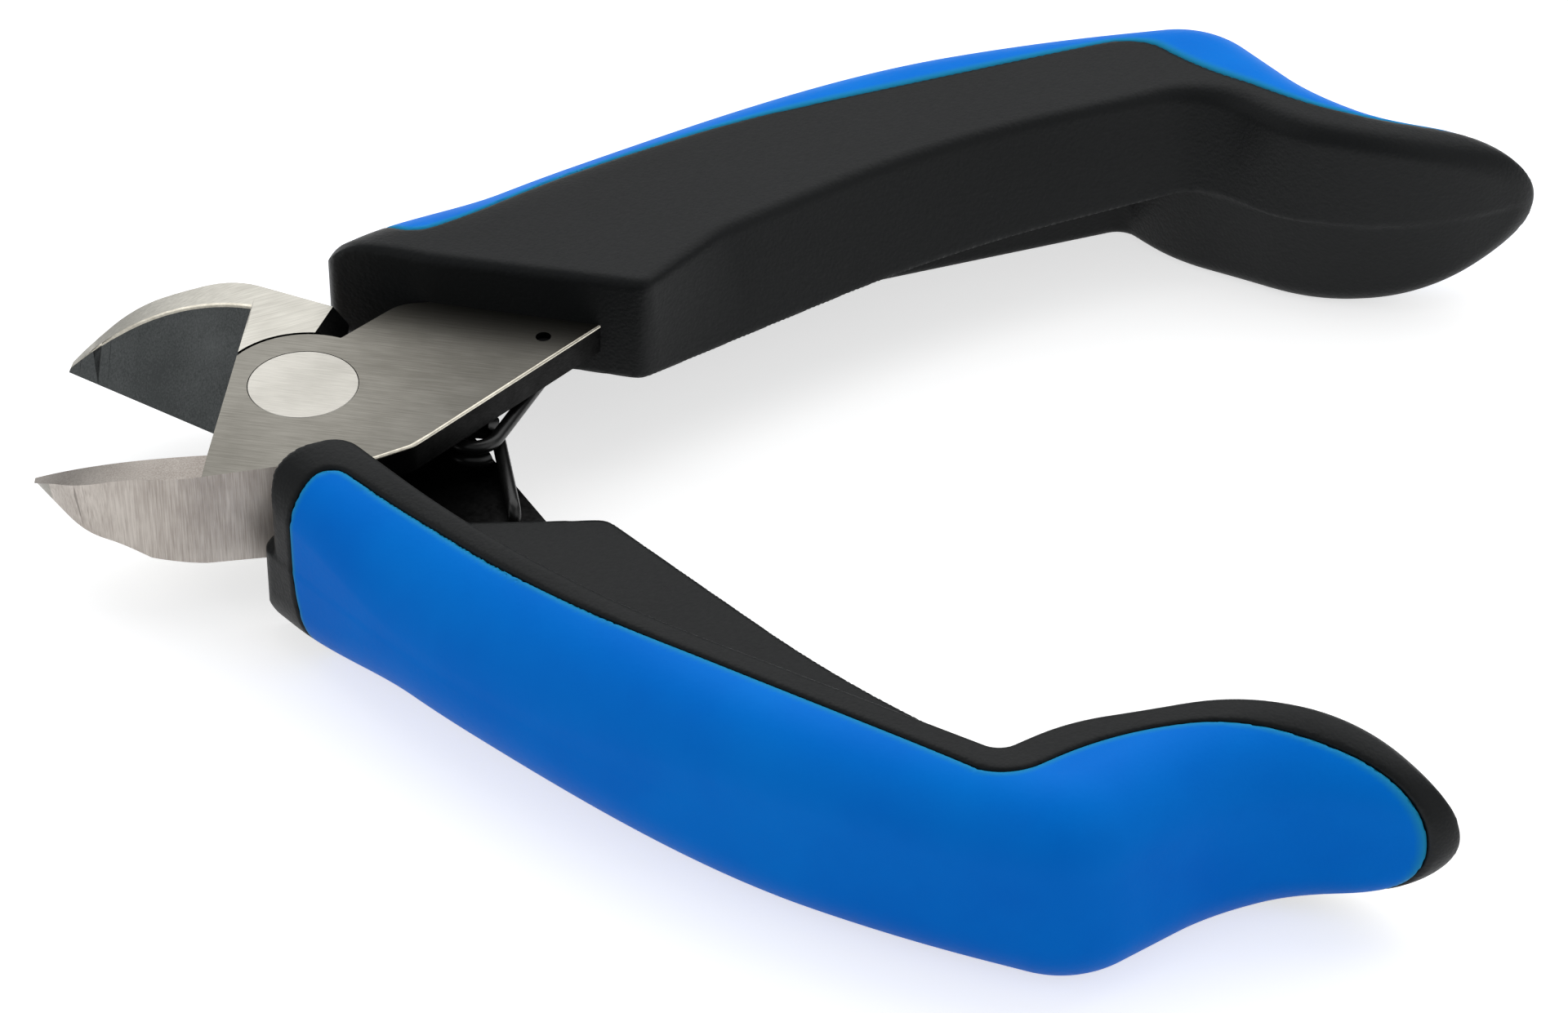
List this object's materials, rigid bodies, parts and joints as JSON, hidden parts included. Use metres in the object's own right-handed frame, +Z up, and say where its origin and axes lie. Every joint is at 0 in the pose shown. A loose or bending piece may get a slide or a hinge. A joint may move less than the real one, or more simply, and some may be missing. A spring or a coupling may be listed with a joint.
{
  "type": "spring-loaded side cutting pliers",
  "caption": "Small side cutters with a riveted lap joint, short bevelled jaws, a torsion spring and two-colour moulded grips.",
  "frame": {"origin": "on the surface that the tool lies on, under the middle of the open tool's length and width", "axes": "+X from the jaws towards the ends of the handles, +Y towards the handle of the upper lever, +Z up, along the pivot"},
  "size_m": [0.1306, 0.1218, 0.02],
  "materials": {
    "steel": "ground and brushed",
    "rivet_steel": "ground flush with the joint",
    "spring_steel": "black oxide",
    "hard_plastic": "fine moulded grain",
    "soft_plastic": "satin soft overmould"
  },
  "bodies": {
    "lower_lever": {"lower_blade": "steel", "pivot_rivet": "rivet_steel", "lower_grip_core": "hard_plastic", "lower_grip_sleeve": "soft_plastic"},
    "upper_lever": {"upper_blade": "steel", "upper_grip_core": "hard_plastic", "upper_grip_sleeve": "soft_plastic"},
    "spring_lower": {"spring_lower_arm": "spring_steel"},
    "spring_upper": {"spring_upper_arm": "spring_steel"}
  },
  "joints": [
    {"name": "jaw_pivot", "type": "hinge", "parent": "lower_lever", "child": "upper_lever", "pos_m": [-0.04206, 0, 0.01], "axis": [0, 0, -1], "range_deg": [0, 38], "stiffness_Nm_per_rad": 0.6, "springref_deg": -20.05},
    {"name": "spring_lower_hook", "type": "hinge", "parent": "lower_lever", "child": "spring_lower", "pos_m": [-0.02176, -0.0093, 0.01], "axis": [0, 0, 1], "range_deg": [0, 31]},
    {"name": "spring_upper_hook", "type": "hinge", "parent": "upper_lever", "child": "spring_upper", "pos_m": [-0.02176, 0.0093, 0.01], "axis": [0, 0, -1], "range_deg": [0, 31]}
  ],
  "couplings": [
    {"joint": "spring_lower_hook", "follows": "jaw_pivot", "ratio": 0.8108},
    {"joint": "spring_upper_hook", "follows": "jaw_pivot", "ratio": 0.8108}
  ]
}
